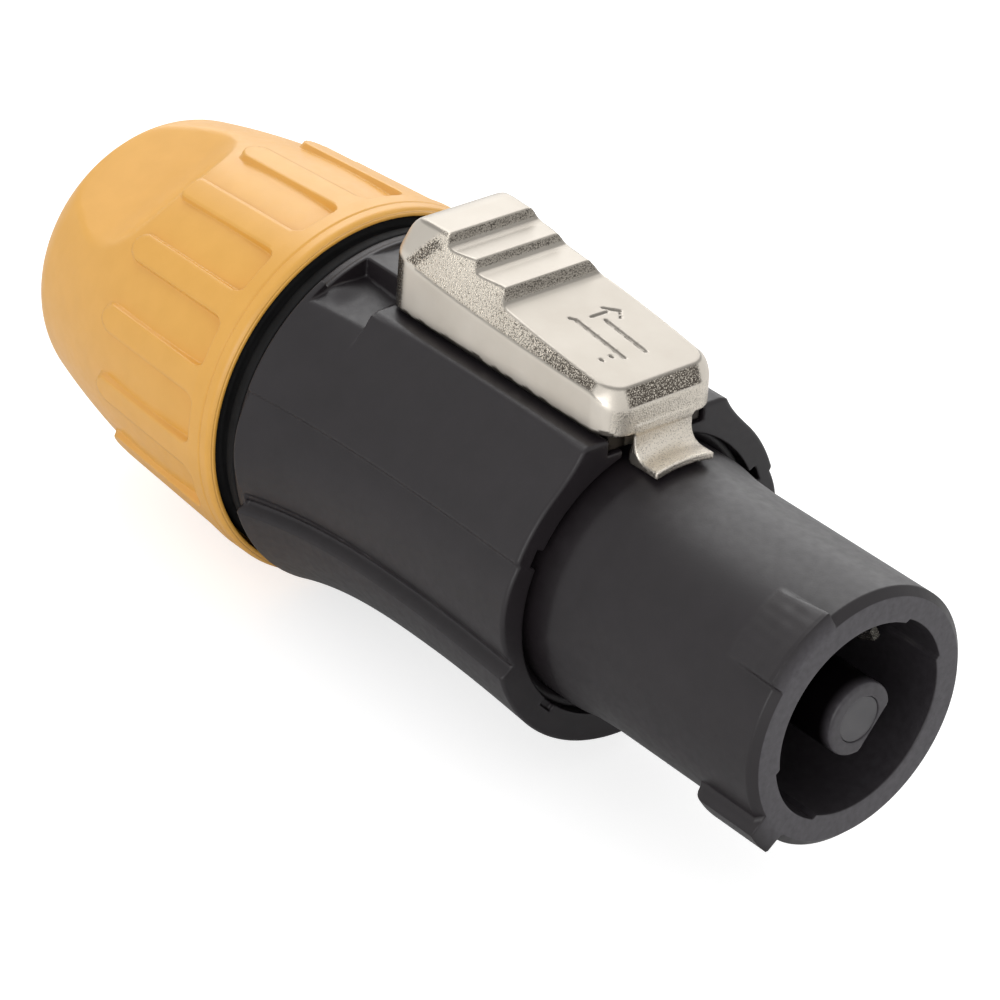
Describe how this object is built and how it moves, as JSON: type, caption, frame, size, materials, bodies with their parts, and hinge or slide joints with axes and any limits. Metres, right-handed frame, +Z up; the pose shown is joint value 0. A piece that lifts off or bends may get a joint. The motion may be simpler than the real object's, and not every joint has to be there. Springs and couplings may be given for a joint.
{
  "type": "locking power plug",
  "caption": "Locking mains cable plug: a bayonet nose turns into its socket, a sprung metal thumb latch locks it, and an orange screw cap clamps the cable.",
  "frame": {"origin": "centre of the nose's front face, on the plug's axis", "axes": "+X along the axis and out of the nose, +Z up through the latch"},
  "size_m": [0.0829, 0.0304, 0.0355],
  "materials": {
    "body_plastic": "satin moulded glass-filled nylon",
    "carrier_plastic": "satin moulded nylon",
    "contact_plating": "silver-plated spring brass",
    "terminal_brass": "turned brass",
    "zinc_steel": "zinc-plated steel",
    "nickel_casting": "nickel-plated die casting, rough on its bevels",
    "spring_steel": "drawn spring steel",
    "seal_rubber": "moulded rubber",
    "chuck_plastic": "moulded acetal",
    "cap_plastic": "satin moulded nylon"
  },
  "bodies": {
    "root": {"housing": "body_plastic", "nose": "body_plastic", "contact_carrier": "carrier_plastic", "contact_earth": "contact_plating", "contact_line": "contact_plating", "contact_neutral": "contact_plating", "terminal_earth": "terminal_brass", "terminal_line": "terminal_brass", "terminal_neutral": "terminal_brass", "plate_earth": "zinc_steel", "plate_line": "zinc_steel", "plate_neutral": "zinc_steel", "screw_earth": "zinc_steel", "screw_line": "zinc_steel", "screw_neutral": "zinc_steel", "latch_spring": "spring_steel", "latch_pin": "spring_steel", "seal_ring": "seal_rubber"},
    "latch": {"latch": "nickel_casting"},
    "chuck": {"chuck": "chuck_plastic"},
    "cap": {"cap": "cap_plastic"}
  },
  "joints": [
    {"name": "latch_slide", "type": "slide", "parent": "root", "child": "latch", "axis": [-1, 0, 0], "range_m": [0, 0.003], "stiffness_N_per_m": 400, "springref_m": -0.002, "deforming": ["latch_spring"]},
    {"name": "chuck_slide", "type": "slide", "parent": "root", "child": "chuck", "axis": [-1, 0, 0], "range_m": [0, 0.005]},
    {"name": "cap_turn", "type": "hinge", "parent": "chuck", "child": "cap", "pos_m": [-0.068, 0, 0], "axis": [-1, 0, 0], "range_deg": [0, 900]}
  ],
  "couplings": [
    {"joint": "chuck_slide", "follows": "cap_turn", "m_per_rad": 0.0003183}
  ]
}
